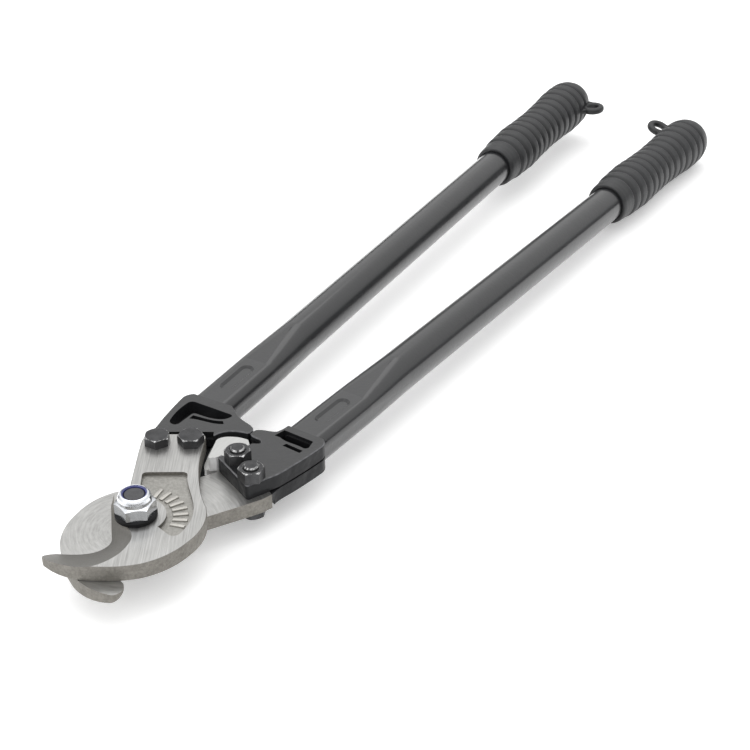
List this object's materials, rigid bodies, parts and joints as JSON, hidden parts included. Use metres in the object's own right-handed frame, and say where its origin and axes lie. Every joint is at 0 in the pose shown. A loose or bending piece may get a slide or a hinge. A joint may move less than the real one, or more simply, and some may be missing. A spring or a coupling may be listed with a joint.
{
  "type": "two-hand cable cutter",
  "caption": "Long two-handed lopping cutter with hooked bypass blades on a pivot bolt, cast brackets, round tube handles and ribbed grips with hanging rings.",
  "frame": {"origin": "middle of the closed cutter's outline, in the plane the tool rests on", "axes": "+Y along the tool from the jaws to the handle ends, +Z square to the blades' flat faces on the side of the pivot nut, +X towards the handle that carries the lower blade"},
  "size_m": [0.141, 0.6938, 0.0478],
  "materials": {
    "blade_steel": "ground flat faces, forged side walls",
    "guide_steel": "bare machined steel",
    "bracket_paint": "gloss black paint over casting",
    "tube_paint": "gloss black paint",
    "grip_rubber": "matte moulded",
    "black_oxide": "black oxide, worn bright on the corners",
    "zinc_plate": "bright zinc plate",
    "nylon_ring": "blue violet nylon",
    "black_washer": "black, half gloss",
    "pivot_steel": "dark steel"
  },
  "bodies": {
    "right_arm": {"lower_blade": "blade_steel", "right_guide_block": "guide_steel", "right_bracket": "bracket_paint", "right_tube": "tube_paint", "right_grip": "grip_rubber", "right_outer_bolt": "black_oxide", "right_inner_bolt": "black_oxide", "right_outer_nut": "black_oxide", "right_inner_nut": "black_oxide", "pivot_bolt": "pivot_steel", "pivot_nut": "zinc_plate", "pivot_nut_insert": "nylon_ring", "pivot_washer": "black_washer"},
    "left_arm": {"upper_blade": "blade_steel", "left_guide_block": "guide_steel", "left_bracket": "bracket_paint", "left_tube": "tube_paint", "left_grip": "grip_rubber", "left_outer_bolt": "black_oxide", "left_inner_bolt": "black_oxide", "left_outer_nut": "black_oxide", "left_inner_nut": "black_oxide"}
  },
  "joints": [
    {"name": "pivot", "type": "hinge", "parent": "right_arm", "child": "left_arm", "pos_m": [0, -0.29695, 0.02388], "axis": [0, 0, 1], "range_deg": [0, 95]}
  ]
}
